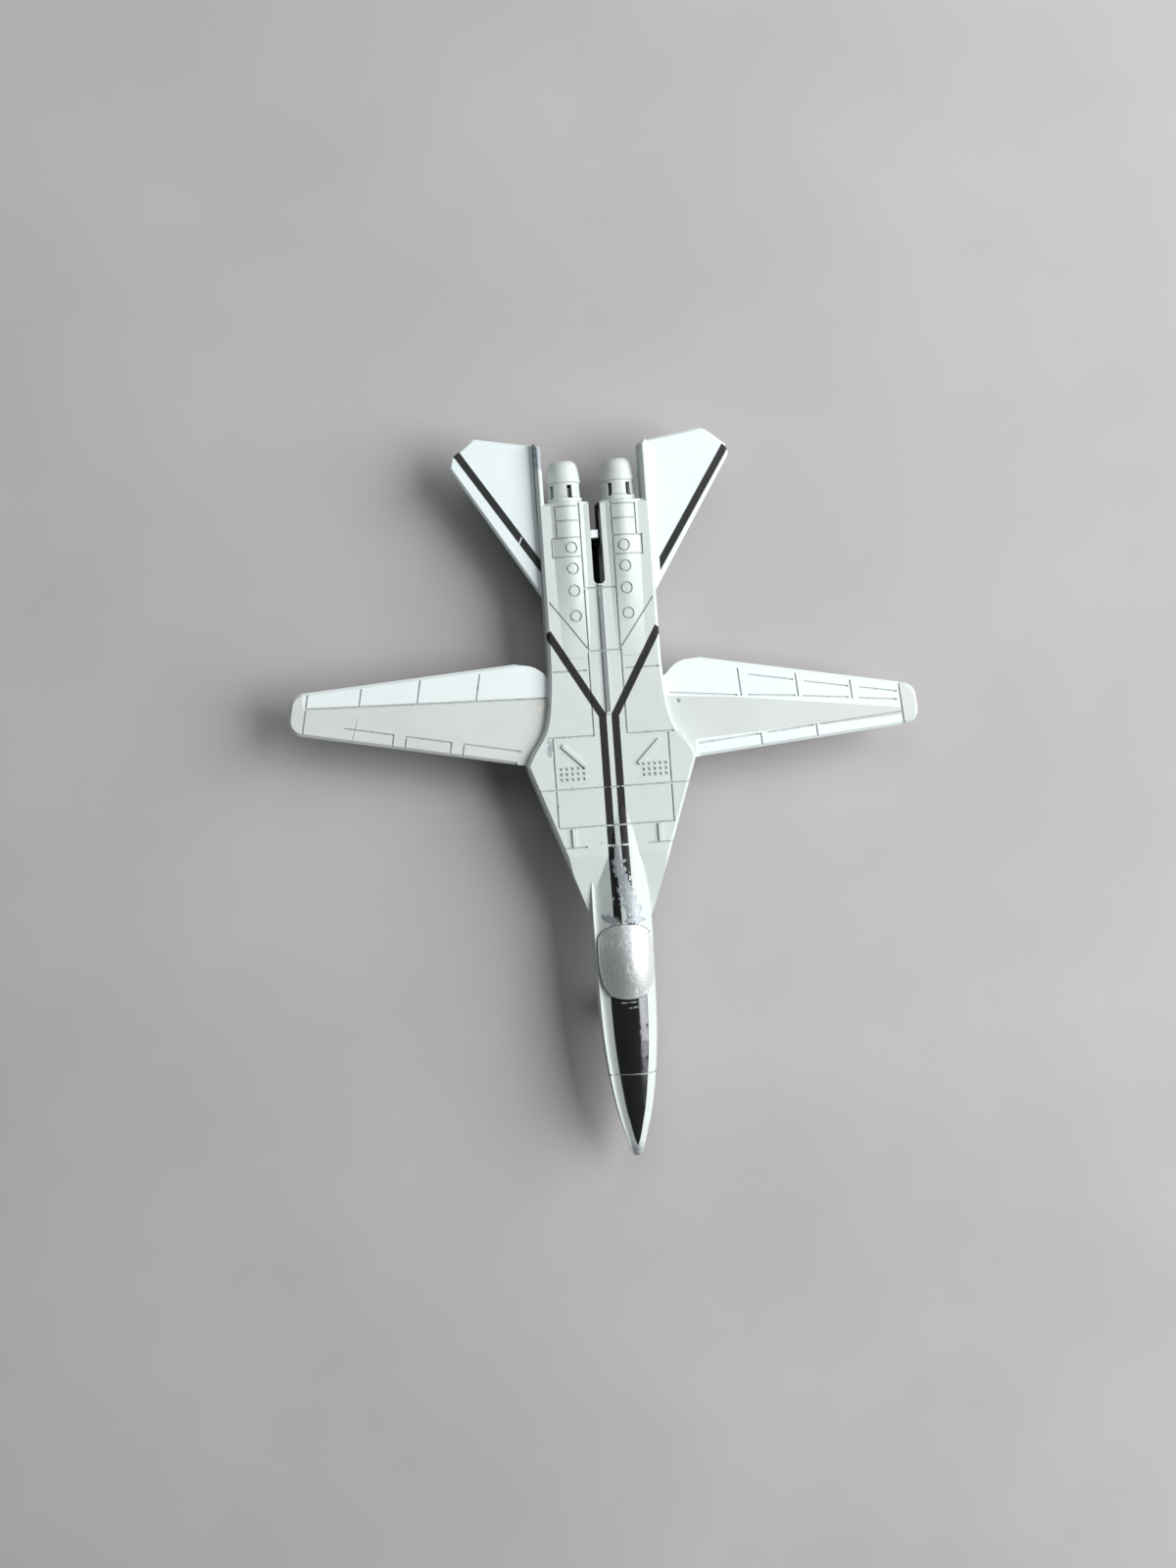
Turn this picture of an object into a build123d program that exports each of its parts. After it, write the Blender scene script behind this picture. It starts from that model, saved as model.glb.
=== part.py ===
from build123d import *
import os
from math import atan2, cos, degrees, radians, sin

# Small die-cast swing-wing jet, millimetres.
# +Z is up, the nose points to -Y, port is +X, and z = 0 is the ground under the wheels.

# ---- overall sizes -------------------------------------------------------------------
radome_length = 25.4        # canopy front to nose tip
wing_reach = 41.9           # pivot to wing tip, along the leading edge
tail_deck_y = 46.8          # aft face of both castings, where the nozzles come out
strake_end_y = 56.5         # aft end of the two tail strakes
belly_z = 3.8               # ground to flat belly

# ---- castings ------------------------------------------------------------------------
wall = 1.2                  # casting wall
lip = 1.2                   # lower plate under the glove
wing_thickness = 1.5
wing_gap = 0.15             # free space over and under a wing in its slot
parting_z = 8.4             # plane where the two castings meet
slot_top_z = parting_z + wing_thickness + 2 * wing_gap
deck_z = slot_top_z + wall
deck_edge = 0.45            # chamfer round the top of the deck
groove_depth = 0.22
groove_width = 0.24
rib_height = 0.3
side_gap = 0.06             # free space between parts that seat in one another
cavity_half = 4.4           # half width of the hollow down the middle

# ---- glove and deck planform (half, port side) ---------------------------------------
glove_nose = (4.9, -19.5)
glove_corner = (13.6, 5.3)
deck_waist = (9.4, 16.0)
glove_slope_y = -9.5        # ahead of this the glove slopes down
glove_drop = 1.7            # how far it has sunk at its nose
deck_half = 9.0             # half width beside the tailplanes
deck_bend = (
    deck_waist[0] + 0.31 * (glove_corner[0] - deck_waist[0]),
    deck_waist[1] - 0.54 * (deck_waist[1] - glove_corner[1]),
)
deck_straight_y = 30.0      # aft of this the deck sides are parallel

# ---- forward fuselage ----------------------------------------------------------------
canopy_front_y = -32.55
canopy_rear_y = -20.7
canopy_half = 4.4
canopy_seat_z = parting_z + 1.3
canopy_rise = 5.75          # parting plane to canopy crown
fuselage_half = 4.8
fuselage_top = 4.4          # parting plane to spine behind the canopy
fuselage_end_y = 3.0        # where the rounded section has sunk into the deck
fuselage_steps = 22         # stations along the rounded section

# ---- nozzles, strakes and fin slot ---------------------------------------------------
fin_slot_half = 0.9
fin_slot_front_y = 33.6
fin_slot_through_y = 42.5   # aft of this the slot also runs through the belly
nozzle_radius = 2.8
nozzle_web = 0.65           # slot wall to nozzle
nozzle_x = fin_slot_half + nozzle_web + nozzle_radius
nozzle_length = 6.7
nozzle_windows = 5
window_width = 0.8
window_length = 2.1
window_start = 0.7          # nozzle face to window
stub_radius = nozzle_radius - 0.6       # neck held between the castings
stub_length = 2.6
flange_radius = nozzle_radius - 0.2
flange_length = 1.0
nacelle_radius = nozzle_radius + 1.3
nacelle_x = nozzle_x - 0.65
hump_half = 3.1             # half width of a swelling over an engine
hump_stations = ((22.0, 0.05), (30.0, 0.4), (39.0, 0.8), (tail_deck_y, 0.8))
strake_width = 1.1
strake_inner = deck_half - strake_width

# ---- wings ---------------------------------------------------------------------------
pivot_x = 8.5
pivot_y = 12.0
pivot_radius = 1.2
pivot_fit = 0.06            # radial running fit of a wing on its pin
leading_edge = 7.33         # pivot to leading edge
root_chord = 15.75
tip_chord = 6.3
wing_tip_round = 2.4
root_te_x = 7.7             # where the straight trailing edge starts, from the pivot
root_radius = 6.0           # round root inside the slot
wing_root_x = 5.2           # where the bevelled panel meets the round root
port_sweep = 4.8            # leading edge, degrees aft, as the wings stand
starboard_sweep = 11.4
wing_edge = 0.45            # bevel round the outer wing

# ---- tailplanes ----------------------------------------------------------------------
tail_thickness = 1.3
tail_root_y = 32.0
tail_sweep_corner = (22.5, 53.4)
tail_tip = (18.5, 57.9)
tail_te_root_y = 56.3
tab_depth = 2.8             # how far a tab reaches in between the castings
tab_front_y = 36.5
tab_rear_y = 43.5
peg_radius = 0.75
peg_place = (deck_half - tab_depth + 1.4, (tab_front_y + tab_rear_y) / 2)

# ---- undercarriage -------------------------------------------------------------------
nose_wheel_radius = 2.3
nose_wheel_width = 1.5
nose_wheel_y = -34.0
nose_axle_radius = 0.45
main_wheel_radius = 2.8
main_wheel_width = 2.2
main_wheel_y = 17.0
main_axle_radius = 0.6
wheel_fit = 0.05            # radial running fit of a wheel on its axle
bracket_half = 3.1
wheel_side = 0.25           # free space beside a wheel
axle_cap = 0.4

# ---- screws --------------------------------------------------------------------------
screw_places = (-14.0, 28.4)
screw_head_radius = 1.6
screw_shank_radius = 0.8
screw_head_height = 1.1
boss_radius = 2.4


os.makedirs("parts", exist_ok=True)


def export(made, name):
    """Label a finished part and write it."""
    made.part.label = name
    export_step(made.part, f"parts/{name}.step")


def across(y):
    """Plane square to the length of the jet at y; its own up is +Z."""
    return Plane.XZ.offset(-y)


def mirrored(shape):
    """The starboard twin of a port-side shape."""
    with BuildPart() as twin:
        mirror(shape, about=Plane.YZ)
    return twin


# ---- outer form shared by both castings ----------------------------------------------
def fuselage_profiles():
    """Half width, height and depth from the parting plane, each a curve along the length."""
    tip = canopy_front_y - radome_length
    full_depth = parting_z - belly_z
    ahead = (
        # share of the radome, half width, height, depth
        (0.115, 1.6, 1.45, 1.35),
        (0.31, 2.95, 2.45, 2.25),
        (0.51, 3.8, 3.15, 2.95),
        (0.74, 4.4, 3.7, 3.6),
        (1.0, 4.7, 4.05, 4.1),
    )
    stations = [(tip + radome_length * share, *sizes) for share, *sizes in ahead]
    middle = (canopy_front_y + canopy_rear_y) / 2
    stations.append((middle, fuselage_half, fuselage_top - 0.05, full_depth - 0.1))
    stations.append((canopy_rear_y, fuselage_half + 0.1, fuselage_top, full_depth))
    fade = fuselage_top - (deck_z - parting_z) + 0.3
    for share in (0.25, 0.5, 0.75, 1):
        ease = share * share * (3 - 2 * share)
        y = canopy_rear_y + share * (fuselage_end_y - canopy_rear_y)
        stations.append((y, fuselage_half + 0.1 - share * share, fuselage_top - fade * ease, full_depth))
    return [Edge.make_spline([(row[0], row[column]) for row in stations]) for column in (1, 2, 3)]


def fuselage_stations():
    """Closely spaced stations along the profiles, with a blunt tip ahead of them."""
    half, height, depth = fuselage_profiles()
    tip = canopy_front_y - radome_length
    yield tip, 0.5, 0.45, 0.42
    yield tip + 0.35, 0.85, 0.75, 0.72
    yield tip + 1.2, 1.15, 1.03, 0.98
    for step in range(fuselage_steps + 1):
        y = half.position_at(0).X + step / fuselage_steps * (half.position_at(1).X - half.position_at(0).X)
        yield (y, *(curve_at(curve, y) for curve in (half, height, depth)))


def curve_at(curve, y):
    """Height of a profile curve at y."""
    low, high = 0.0, 1.0
    for _ in range(30):
        middle = (low + high) / 2
        if curve.position_at(middle).X < y:
            low = middle
        else:
            high = middle
    return curve.position_at(low).Y


def oval(half, height, depth):
    """Rounded section, widest on the parting plane."""
    with BuildLine() as line:
        Spline(
            (half, 0), (0.9 * half, 0.55 * height), (0, height), (-0.9 * half, 0.55 * height), (-half, 0),
            tangents=((0, 1), (0, -1)),
        )
        Spline(
            (-half, 0), (-0.88 * half, -0.62 * depth), (0, -depth), (0.88 * half, -0.62 * depth), (half, 0),
            tangents=((0, -1), (0, 1)),
        )
    make_face(line.edges())


def forward_fuselage(inset):
    """Nose and cockpit section, drawn in by inset on every side."""
    with BuildPart() as body:
        for y, half, height, depth in fuselage_stations():
            if min(half, height, depth) - inset > 0.15:
                with BuildSketch(across(y).shift_origin((0, y, parting_z))):
                    oval(half - inset, height - inset, depth - inset)
        loft(ruled=True)
    return body.part


def deck_outline():
    """Glove, deck and strakes seen from above, both sides."""
    x_nose, y_nose = glove_nose
    x_corner, y_corner = glove_corner
    x_waist, y_waist = deck_waist
    with BuildLine() as line:
        Line((0, y_nose), (x_nose, y_nose))
        Line((x_nose, y_nose), (x_corner, y_corner))
        Spline(
            (x_corner, y_corner), deck_bend, (x_waist, y_waist), (deck_half, deck_straight_y),
            tangents=((-0.3, 1), (0, 1)),
        )
        Line((deck_half, deck_straight_y), (deck_half, strake_end_y))
        Line((deck_half, strake_end_y), (strake_inner, strake_end_y - 0.8))
        Line((strake_inner, strake_end_y - 0.8), (strake_inner, tail_deck_y))
        Line((strake_inner, tail_deck_y), (0, tail_deck_y))
        mirror(about=Plane.YZ)
    make_face(line.edges())


def deck_plate(inset):
    """Flat deck with its glove; the glove carries the wing slots."""
    with BuildPart() as plate:
        with BuildSketch(Plane.XY.offset(parting_z - lip + inset)):
            deck_outline()
            if inset:
                offset(amount=-inset, kind=Kind.INTERSECTION, mode=Mode.REPLACE)
        extrude(amount=deck_z - parting_z + lip - 2 * inset)
        if inset < deck_edge:
            top = plate.faces().sort_by(Axis.Z)[-1]
            chamfer(top.edges(), deck_edge - inset)
        # the glove slopes down to the sides of the fuselage
        top_z = deck_z - inset
        with BuildSketch(Plane.YZ):
            with BuildLine():
                Polyline(
                    (glove_slope_y, top_z), (glove_slope_y, top_z + 1), (glove_nose[1] - 1, top_z + 1),
                    (glove_nose[1] - 1, top_z - glove_drop), close=True,
                )
            make_face()
        extrude(amount=glove_corner[0], both=True, mode=Mode.SUBTRACT)
    return plate.part


def nacelles():
    """Round engine casings that show under the deck towards the tail."""
    start_radius = nacelle_radius - 1.2
    with BuildPart() as pair:
        for y, radius in ((22.0, start_radius), (40.0, nacelle_radius), (tail_deck_y, nacelle_radius)):
            with BuildSketch(across(y).shift_origin((0, y, parting_z))):
                with Locations((nacelle_x, 0)):
                    Circle(radius)
        loft()
        mirror(about=Plane.YZ)
    return pair.part


def engine_humps(inset):
    """Two soft swellings of the deck over the engines, which rise towards the tail."""
    with BuildPart() as pair:
        for y, rise in hump_stations:
            aft = y - inset if y == tail_deck_y else y
            with BuildSketch(across(aft).shift_origin((0, aft, deck_z - inset))):
                with BuildLine() as line:
                    inner = (nozzle_x - hump_half, -0.15)
                    outer = (nozzle_x + hump_half, -0.15)
                    Spline(
                        inner, (nozzle_x - 0.62 * hump_half, 0.3 * rise), (nozzle_x, rise),
                        (nozzle_x + 0.62 * hump_half, 0.3 * rise), outer,
                    )
                    Polyline(outer, (outer[0], -0.8), (inner[0], -0.8), inner)
                make_face(line.edges())
        loft()
        mirror(about=Plane.YZ)
    return pair.part


def trunk():
    """Belly between the intakes and the nozzles."""
    half = deck_half - 0.8
    front = 1.0
    with BuildPart() as box:
        with BuildSketch(Plane.YZ):
            with BuildLine():
                Polyline(
                    (front, parting_z), (front + 0.6, belly_z + 0.7), (front + 3, belly_z), (34, belly_z),
                    (tail_deck_y, parting_z - nacelle_radius), (tail_deck_y, parting_z), close=True,
                )
            make_face()
        extrude(amount=half, both=True)
        fillet(box.edges().filter_by(Axis.Y).group_by(Axis.Z)[0], 1.6)
    return box.part


def skin(inset):
    """Everything above the parting plane, drawn in by inset."""
    with BuildPart() as form:
        add(forward_fuselage(inset))
        add(deck_plate(inset))
        add(engine_humps(inset))
    return form.part


# ---- engraved and raised detail ------------------------------------------------------
deck_lines = (
    ((3.2, 20.0), (8.4, 20.0)),
    ((2.65, 9.6), (10.1, 9.6)),
    ((0, 1.3), (12.4, 1.3)),
    ((0, -4.8), (9.25, -4.8)),
    ((5.0, -8.0), (9.0, -8.0)),
    ((9.25, -4.8), (9.25, 9.6)),
    ((2.65, 9.6), (2.65, 23.0)),
    ((0, 23.0), (2.65, 23.0)),
    ((2.55, 23.0), (2.55, 46.5)),
    ((0, 33.0), (2.55, 33.0)),
    ((8.2, 31.0), (2.8, 23.6)),
    ((2.55, 46.1), (6.4, 46.1)),
    ((2.55, 43.8), (6.4, 43.8)),
    ((2.55, 41.1), (7.2, 41.1)),
    ((2.55, 38.1), (7.2, 38.1)),
    ((6.4, 41.1), (6.4, 46.1)),
    ((7.2, 38.1), (7.2, 41.1)),
)
access_rings_y = (28.7, 32.7, 36.2, 39.5)
access_ring_x = 4.2
access_ring_radius = 0.85
radome_line_y = -44.6
rib_lines = (
    ((6.9, -5.3), (6.9, -7.6)),
    ((7.6, 8.1), (4.4, 4.9)),
)
rib_width = 0.6
vent_x, vent_y = 6.6, 3.7
vent_pitch_x, vent_pitch_y = 0.9, 0.85


def strip(start, end, width):
    """A straight band between two points, on the sketch in hand."""
    run = Vector(*end) - Vector(*start)
    middle = (Vector(*end) + Vector(*start)) * 0.5
    with Locations((middle.X, middle.Y)):
        Rectangle(run.length + width, width, rotation=degrees(atan2(run.Y, run.X)))


def panel_grooves():
    """Panel lines, access rings and vents, sunk to one depth below the skin."""
    with BuildPart() as cutter:
        with BuildSketch(Plane.XY.offset(deck_z - 2 * groove_depth)):
            for start, end in deck_lines:
                strip(start, end, groove_width)
            with Locations(*((access_ring_x, y) for y in access_rings_y)):
                Circle(access_ring_radius + groove_width / 2)
            with Locations(*((access_ring_x, y) for y in access_rings_y)):
                Circle(access_ring_radius - groove_width / 2, mode=Mode.SUBTRACT)
            with Locations((vent_x, vent_y)):
                with GridLocations(vent_pitch_x, vent_pitch_y, 5, 3):
                    Rectangle(vent_pitch_x - 0.35, vent_pitch_y - 0.4)
            mirror(about=Plane.YZ)
        extrude(amount=4)
        with BuildSketch(Plane.XY.offset(parting_z)):
            strip((-6, radome_line_y), (6, radome_line_y), groove_width)
        extrude(amount=4)
        add(skin(groove_depth), mode=Mode.SUBTRACT)
    return cutter.part


def raised_ribs():
    """Spine ridge and the short ribs beside it."""
    with BuildPart() as ribs:
        with BuildSketch(Plane.XY.offset(deck_z - 0.2)):
            for start, end in rib_lines:
                strip(start, end, rib_width)
            mirror(about=Plane.YZ)
        extrude(amount=0.2 + rib_height)
        with BuildSketch(Plane.XY.offset(deck_z - 0.5)):
            strip((0, 13.2), (0, fin_slot_front_y - 0.3), 0.7)
        extrude(amount=0.5 + rib_height)
        with BuildSketch(Plane.XY.offset(deck_z - 0.5)):
            strip((0, 24.5), (0, fin_slot_front_y - 0.3), 1.5)
        extrude(amount=0.5)
    return ribs.part


# ---- spaces shared by the two castings -----------------------------------------------
def wing_pocket():
    """Room that both wing roots sweep through, from full forward to full aft."""
    clear = leading_edge + 0.35
    inner = pivot_x - root_radius - 0.8
    with BuildPart() as pocket:
        with BuildSketch(Plane.XY.offset(parting_z - 1)):
            with BuildLine():
                Polyline(
                    (glove_corner[0] + 3, pivot_y - clear), (pivot_x, pivot_y - clear),
                    (inner + 0.9, pivot_y - 5.6), (inner, pivot_y - 2), (inner, pivot_y + 8.5),
                    (inner + 0.7, pivot_y + 11),
                    (deck_half, tail_root_y - 0.6), (glove_corner[0] + 3, tail_root_y - 0.6),
                    close=True,
                )
            make_face()
            mirror(about=Plane.YZ)
        extrude(amount=slot_top_z - parting_z + 1)
    return pocket.part


def canopy_footprint(extra):
    """Canopy outline on the sketch in hand."""
    half = canopy_half + extra
    front = canopy_front_y - extra
    rear = canopy_rear_y + extra
    with BuildLine() as line:
        brow = (0.66 * half, front + 0.6)
        Spline(
            (0, rear), (0.62 * half, rear - 0.45), (0.94 * half, rear - 1.7), (half, rear - 3.6),
            (0.97 * half, front + 4.0), (0.85 * half, front + 2.0), brow,
            tangents=((1, 0), (-0.5, -1)),
        )
        ThreePointArc(brow, (0.34 * half, front + 0.16), (0, front))
        mirror(about=Plane.YZ)
    make_face(line.edges())


def nozzle_seat():
    """Half-bores that trap the nozzle stubs between the castings."""
    with BuildPart() as seat:
        for side in (1, -1):
            with BuildSketch(across(tail_deck_y - stub_length - 0.2)):
                with Locations((side * nozzle_x, parting_z)):
                    Circle(stub_radius + side_gap)
            extrude(amount=-(stub_length + 1))
            with BuildSketch(across(tail_deck_y - stub_length - 0.2)):
                with Locations((side * nozzle_x, parting_z)):
                    Circle(flange_radius + side_gap)
            extrude(amount=-(flange_length + 0.4))
    return seat.part


def fin_slot(front, low, high):
    """Slot that the fin stood in, open to the rear."""
    with BuildPart() as slot:
        with BuildSketch(Plane.XY.offset(low)):
            with Locations((0, (front + tail_deck_y) / 2 + 1)):
                Rectangle(2 * fin_slot_half, tail_deck_y - front + 2)
        extrude(amount=high - low)
        fillet(slot.edges().filter_by(Axis.Z).group_by(Axis.Y)[0], fin_slot_half - 0.1)
    return slot.part


def tail_tab(extra):
    """Root tab of the port tailplane, on the sketch in hand."""
    width = tab_depth + 2
    with Locations((deck_half + 1 - width / 2 + 1, (tab_front_y + tab_rear_y) / 2)):
        Rectangle(width + 2 * extra, tab_rear_y - tab_front_y + 2 * extra)


def tail_pocket():
    """Slots through the castings' sides for both tailplane tabs."""
    with BuildPart() as pocket:
        with BuildSketch(Plane.XY.offset(parting_z - 1)):
            tail_tab(side_gap)
            mirror(about=Plane.YZ)
        extrude(amount=1 + tail_thickness + 2 * side_gap)
    return pocket.part


# ---- upper casting -------------------------------------------------------------------
def room(half, front, rear, low, high):
    """A plain box of hollow, centred on the length of the jet."""
    with Locations((0, (front + rear) / 2, low)):
        Box(2 * half, rear - front, high - low, align=(Align.CENTER, Align.CENTER, Align.MIN))


def upper_cavity():
    """Hollow of the upper casting: nose, spine, centre and engine bays."""
    low = parting_z - 1
    rear = tail_deck_y - wall
    with BuildPart() as hollow:
        room(2.0, canopy_front_y - 0.6 * radome_length, canopy_front_y - wall, low, parting_z + 1.7)
        room(fuselage_half - 1.8, canopy_rear_y + wall, 0, low, slot_top_z)
        room(cavity_half, -1.0, fin_slot_front_y, low, slot_top_z)
        room(deck_half - wall, fin_slot_front_y - 1, rear, low, slot_top_z)
        with BuildSketch(across(rear)):
            with Locations((nacelle_x, parting_z), (-nacelle_x, parting_z)):
                Circle(nacelle_radius - wall)
        extrude(amount=rear - 28)
    return hollow.part


with BuildPart() as upper_fuselage:
    add(skin(0))
    split(bisect_by=Plane.XY.offset(parting_z), keep=Keep.TOP)
    add(raised_ribs())
    add(panel_grooves(), mode=Mode.SUBTRACT)
    add(upper_cavity(), mode=Mode.SUBTRACT)
    add(wing_pocket(), mode=Mode.SUBTRACT)
    # screw posts and pivot seats
    for y in screw_places:
        with Locations((0, y, parting_z)):
            Cylinder(boss_radius - 0.5, slot_top_z - parting_z + 0.4, align=(Align.CENTER, Align.CENTER, Align.MIN))
        with Locations((0, y, parting_z)):
            Cylinder(
                screw_shank_radius, 2.6, align=(Align.CENTER, Align.CENTER, Align.MIN), mode=Mode.SUBTRACT,
            )
    with Locations((pivot_x, pivot_y, slot_top_z - 1), (-pivot_x, pivot_y, slot_top_z - 1)):
        Cylinder(
            pivot_radius + side_gap, 1.8, align=(Align.CENTER, Align.CENTER, Align.MIN), mode=Mode.SUBTRACT,
        )
    # seats for the canopy, tailplanes and nozzles, and the fin slot
    with BuildSketch(Plane.XY.offset(canopy_seat_z)):
        canopy_footprint(side_gap)
    extrude(amount=8, mode=Mode.SUBTRACT)
    add(tail_pocket(), mode=Mode.SUBTRACT)
    add(nozzle_seat(), mode=Mode.SUBTRACT)
    add(fin_slot(fin_slot_front_y, parting_z - 1, deck_z + 4), mode=Mode.SUBTRACT)
export(upper_fuselage, "upper_fuselage")


# ---- lower casting -------------------------------------------------------------------
gear_block_y = (nose_wheel_y - 5, nose_wheel_y + 5)
belly_panel_y = (22.0, 33.0)        # raised blank panel behind the wheels
belly_panel_half = 5.5
belly_panel_rise = 0.2
engine_room_y = (main_wheel_y + 6, tail_deck_y - 6.8)
main_well_y = main_wheel_radius + 0.7
bracket_plug = (4.4, 3.0, 2.4)      # x, y and height of the main gear plug
nose_bay_z = 2 * nose_wheel_radius + 0.9
stem_radius = 1.0
stem_height = 1.9
fin_tab = (1.2, 1.3)
fin_tab_y = 41.65
fin_tab_x = -fin_slot_half + side_gap + fin_tab[0] / 2
fin_tab_low = 6.6


def lower_cavity():
    """Hollows of the lower casting: nose, centre and engine bay."""
    floor = belly_z + wall
    with BuildPart() as hollow:
        add(forward_fuselage(wall))
        with Locations((0, (gear_block_y[0] + gear_block_y[1]) / 2, 0)):
            Box(20, gear_block_y[1] - gear_block_y[0], 40, mode=Mode.SUBTRACT)
        split(bisect_by=Plane.XZ.offset(-8.0), keep=Keep.TOP)
        room(cavity_half, engine_room_y[0], engine_room_y[1], floor, floor + 9)
    return hollow.part


def intake(side):
    """Quarter-round intake mouth under the glove."""
    inner = fuselage_half + 0.1
    height = parting_z - lip - belly_z - 0.8
    with BuildPart() as mouth:
        with BuildSketch(across(0)):
            with BuildLine():
                corner = (side * inner, parting_z - lip)
                low = (side * inner, parting_z - lip - height)
                out = (side * (inner + height), parting_z - lip)
                Line(corner, low)
                ThreePointArc(
                    low,
                    (side * (inner + height * 0.71), parting_z - lip - height * 0.71),
                    out,
                )
                Line(out, corner)
            make_face()
        extrude(amount=-6.5)
    return mouth.part


with BuildPart() as lower_fuselage:
    add(forward_fuselage(0))
    add(deck_plate(0))
    add(nacelles())
    add(trunk())
    split(bisect_by=Plane.XY.offset(parting_z), keep=Keep.BOTTOM)
    add(lower_cavity(), mode=Mode.SUBTRACT)
    for side in (1, -1):
        add(intake(side), mode=Mode.SUBTRACT)
    with Locations((0, sum(belly_panel_y) / 2, belly_z - belly_panel_rise)):
        Box(
            2 * belly_panel_half, belly_panel_y[1] - belly_panel_y[0], belly_panel_rise + 0.5,
            align=(Align.CENTER, Align.CENTER, Align.MIN),
        )
    # bosses under the wing pivots
    with Locations(*((side * pivot_x, pivot_y, parting_z - lip - 1.6) for side in (1, -1))):
        Cylinder(pivot_radius + 1.1, 1.6 + lip, align=(Align.CENTER, Align.CENTER, Align.MIN))
    with Locations(*((side * pivot_x, pivot_y, parting_z - lip - 1.2) for side in (1, -1))):
        Cylinder(pivot_radius, 6, align=(Align.CENTER, Align.CENTER, Align.MIN), mode=Mode.SUBTRACT)
    # screw bosses, clearance holes and head recesses
    for y in screw_places:
        with Locations((0, y, belly_z + 0.4)):
            Cylinder(boss_radius, parting_z - belly_z - 0.4, align=(Align.CENTER, Align.CENTER, Align.MIN))
        with Locations((0, y, 0)):
            Cylinder(
                screw_shank_radius + side_gap, 12,
                align=(Align.CENTER, Align.CENTER, Align.MIN), mode=Mode.SUBTRACT,
            )
            Cylinder(
                screw_head_radius + side_gap, belly_z + screw_head_height + 0.3,
                align=(Align.CENTER, Align.CENTER, Align.MIN), mode=Mode.SUBTRACT,
            )
    # wheel wells and the sockets of the undercarriage
    well_inner = bracket_half - 0.1
    well_outer = bracket_half + main_wheel_width + 2 * wheel_side + axle_cap + 0.2
    with Locations(*((side * (well_inner + well_outer) / 2, main_wheel_y, 0) for side in (1, -1))):
        Box(
            well_outer - well_inner, 2 * main_well_y, 2 * main_wheel_radius + 0.7,
            align=(Align.CENTER, Align.CENTER, Align.MIN), mode=Mode.SUBTRACT,
        )
    with Locations((0, main_wheel_y, 0)):
        Box(
            bracket_plug[0] + 2 * side_gap, bracket_plug[1] + 2 * side_gap, belly_z + bracket_plug[2] + side_gap,
            align=(Align.CENTER, Align.CENTER, Align.MIN), mode=Mode.SUBTRACT,
        )
    with Locations((0, nose_wheel_y, 0)):
        Box(
            nose_wheel_width + 2.2, 2 * nose_wheel_radius + 1.4, nose_bay_z,
            align=(Align.CENTER, Align.CENTER, Align.MIN), mode=Mode.SUBTRACT,
        )
        Cylinder(
            stem_radius + side_gap, nose_bay_z + stem_height + side_gap,
            align=(Align.CENTER, Align.CENTER, Align.MIN), mode=Mode.SUBTRACT,
        )
    # tailplane pegs, nozzle half-bores, fin slot and the socket of the fin's root tab
    add(nozzle_seat(), mode=Mode.SUBTRACT)
    add(fin_slot(fin_slot_through_y, 0, parting_z + 1), mode=Mode.SUBTRACT)
    with Locations((fin_tab_x, fin_tab_y, fin_tab_low)):
        Box(
            fin_tab[0] + 2 * side_gap, fin_tab[1] + 2 * side_gap, 6,
            align=(Align.CENTER, Align.CENTER, Align.MIN), mode=Mode.SUBTRACT,
        )
    with Locations(*((side * peg_place[0], peg_place[1], parting_z - 0.5) for side in (1, -1))):
        Cylinder(peg_radius, 0.5 + tail_thickness - 0.1, align=(Align.CENTER, Align.CENTER, Align.MIN))
export(lower_fuselage, "lower_fuselage")


# ---- wings ---------------------------------------------------------------------------
port_wing_lines = (
    ((2.0, 3.5), (12.6, 1.5)),
    ((14.6, 1.2), (22.0, 0.0)),
    ((23.4, -0.3), (30.6, -1.6)),
    ((32.4, -2.0), (38.4, -3.1)),
    ((13.4, 1.4), (13.4, 5.6)),
    ((22.6, -0.1), (22.6, 3.4)),
    ((31.3, -1.8), (31.3, 1.0)),
    ((39.2, -7.0), (39.2, -0.8)),
    ((15.2, 4.4), (22.0, 2.6)),
    ((24.0, 2.0), (30.8, 0.2)),
    ((32.8, -0.3), (38.6, -1.8)),
    ((5.5, -5.2), (15.2, -5.2)),
    ((16.8, -5.2), (24.2, -5.2)),
    ((25.6, -5.2), (39.2, -5.2)),
    ((15.6, -7.2), (15.6, -5.2)),
    ((24.8, -7.2), (24.8, -5.2)),
)
starboard_wing_lines = (
    ((2.0, 3.7), (39.2, -3.0)),
    ((13.0, 1.8), (13.0, 6.0)),
    ((22.2, 0.1), (22.2, 3.8)),
    ((31.2, -1.6), (31.2, 1.2)),
    ((39.4, -7.0), (39.4, -0.9)),
    ((5.0, -5.2), (14.0, -5.2)),
    ((16.0, -5.2), (23.2, -5.2)),
    ((25.2, -5.2), (33.0, -5.2)),
    ((14.0, -7.2), (14.0, -5.2)),
    ((16.0, -7.2), (16.0, -5.2)),
    ((23.2, -7.2), (23.2, -5.2)),
    ((25.2, -7.2), (25.2, -5.2)),
)


def outer_wing_outline():
    """Wing outside its slot, from above: pivot at the origin, leading edge along X."""
    tip_te = tip_chord - leading_edge
    root_te = root_chord - leading_edge
    with BuildLine() as line:
        Polyline(
            (wing_root_x, -leading_edge), (wing_reach, -leading_edge), (wing_reach, tip_te),
            (root_te_x, root_te), (wing_root_x, root_te), close=True,
        )
    panel = make_face(line.edges())
    fillet(panel.vertices().group_by(Axis.X)[-1], wing_tip_round)


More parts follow.
